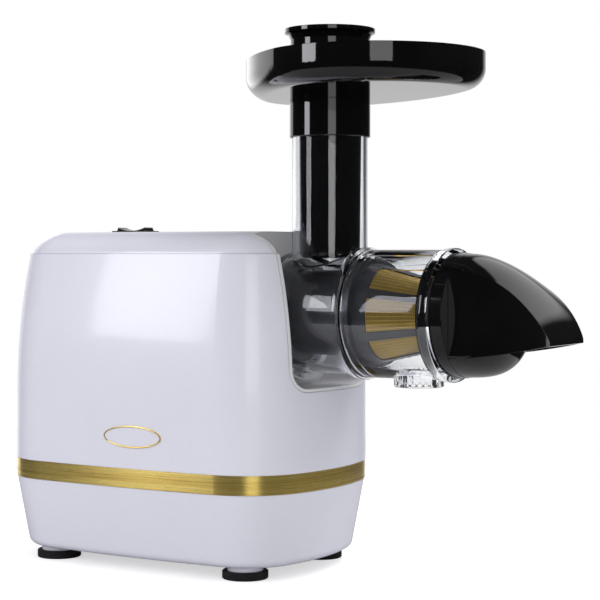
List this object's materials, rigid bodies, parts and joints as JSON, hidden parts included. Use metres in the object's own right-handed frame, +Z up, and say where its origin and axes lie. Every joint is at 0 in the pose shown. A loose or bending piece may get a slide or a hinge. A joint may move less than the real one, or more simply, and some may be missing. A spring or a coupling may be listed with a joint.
{
  "type": "cold press juicer",
  "caption": "Horizontal cold press juicer: rounded motor body with a gold band, docked clear drum with feed chute, offset food tray, pusher and hooded pulp outlet.",
  "frame": {"origin": "on the table, midway between the four feet of the motor body", "axes": "+X from the motor body towards the pulp hood, +Y away from the viewer of the picture, +Z up"},
  "size_m": [0.3844, 0.1906, 0.3409],
  "materials": {
    "white_shell": "pearl white, fine texture",
    "grey_dock": "satin grey",
    "gold_trim": "brushed gold",
    "black_rubber": "matte",
    "black_gloss": "gloss black",
    "black_matte": "matte black",
    "clear_plastic": "clear",
    "dark_plastic": "dark grey satin",
    "gold_mesh": "fine slotted mesh",
    "steel": "machined",
    "laminated_steel": "stacked sheets",
    "copper_winding": "enamelled wire",
    "cast_aluminium": "die cast",
    "brass_contact": "plated",
    "grey_nylon": "natural nylon",
    "circuit_green": "solder mask",
    "capacitor_white": "plain"
  },
  "bodies": {
    "base": {"base_screws": "steel", "board_bracket": "dark_plastic", "capacitor_clip": "dark_plastic", "control_board": "circuit_green", "dock_liner": "grey_dock", "dock_ring": "grey_dock", "foot_front_far": "black_rubber", "foot_front_near": "black_rubber", "foot_rear_far": "black_rubber", "foot_rear_near": "black_rubber", "gear_case": "cast_aluminium", "gear_case_cover": "cast_aluminium", "gear_case_screws": "steel", "gold_band": "gold_trim", "inlet_pins": "brass_contact", "lower_housing": "white_shell", "motor_bearing_front": "steel", "motor_bearing_rear": "steel", "motor_bolts": "steel", "motor_mounts": "black_rubber", "motor_shield_front": "cast_aluminium", "motor_shield_rear": "cast_aluminium", "output_bearing_front": "steel", "output_bearing_rear": "steel", "power_inlet": "black_matte", "reduction_bearing_front": "steel", "reduction_bearing_rear": "steel", "run_capacitor": "capacitor_white", "shaft_seal": "black_rubber", "stator_core": "laminated_steel", "stator_windings": "copper_winding", "switch_bezel": "black_gloss", "switch_module": "black_matte", "top_cover": "white_shell", "upper_housing": "white_shell"},
    "rotor": {"rotor_core": "laminated_steel", "motor_shaft": "steel", "cooling_fan": "dark_plastic", "motor_pinion": "steel"},
    "countershaft": {"reduction_shaft": "steel", "reduction_gear": "grey_nylon", "reduction_pinion": "steel"},
    "output": {"output_shaft": "steel", "output_gear": "grey_nylon", "auger": "dark_plastic"},
    "drum": {"drum_rear": "clear_plastic", "drum_neck": "clear_plastic", "drum_housing": "clear_plastic", "feed_chute": "clear_plastic", "drum_seal": "black_rubber", "strainer_frame": "dark_plastic", "strainer_mesh": "gold_mesh", "cap_bush": "dark_plastic"},
    "cap": {"end_cap": "black_gloss", "pulp_hood": "black_gloss"},
    "tray": {"feed_tray": "black_gloss", "tray_collar": "black_gloss"},
    "food_pusher": {"pusher": "black_gloss"},
    "rocker": {"rocker_switch": "black_gloss"}
  },
  "joints": [
    {"name": "countershaft_spin", "type": "hinge", "parent": "base", "child": "countershaft", "pos_m": [0.03, 0, 0.114], "axis": [1, 0, 0], "continuous": true},
    {"name": "rotor_spin", "type": "hinge", "parent": "base", "child": "rotor", "pos_m": [-0.03, 0, 0.07165], "axis": [1, 0, 0], "continuous": true},
    {"name": "output_spin", "type": "hinge", "parent": "base", "child": "output", "pos_m": [0.05, 0, 0.163], "axis": [1, 0, 0], "continuous": true},
    {"name": "drum_turn", "type": "hinge", "parent": "base", "child": "drum", "pos_m": [0.1, 0, 0.163], "axis": [1, 0, 0], "range_deg": [0, 20]},
    {"name": "cap_turn", "type": "hinge", "parent": "drum", "child": "cap", "pos_m": [0.2, 0, 0.163], "axis": [1, 0, 0], "range_deg": [0, 30]},
    {"name": "tray_lift", "type": "slide", "parent": "drum", "child": "tray", "axis": [0, 0, 1], "range_m": [0, 0.03]},
    {"name": "pusher_lift", "type": "slide", "parent": "tray", "child": "food_pusher", "axis": [0, 0, 1], "range_m": [0, 0.12]},
    {"name": "rocker_tilt", "type": "hinge", "parent": "base", "child": "rocker", "pos_m": [-0.045, 0, 0.211], "axis": [0, 1, 0], "range_deg": [-12, 12]}
  ],
  "couplings": [
    {"joint": "rotor_spin", "follows": "countershaft_spin", "ratio": -4.5},
    {"joint": "output_spin", "follows": "countershaft_spin", "ratio": -0.25}
  ]
}
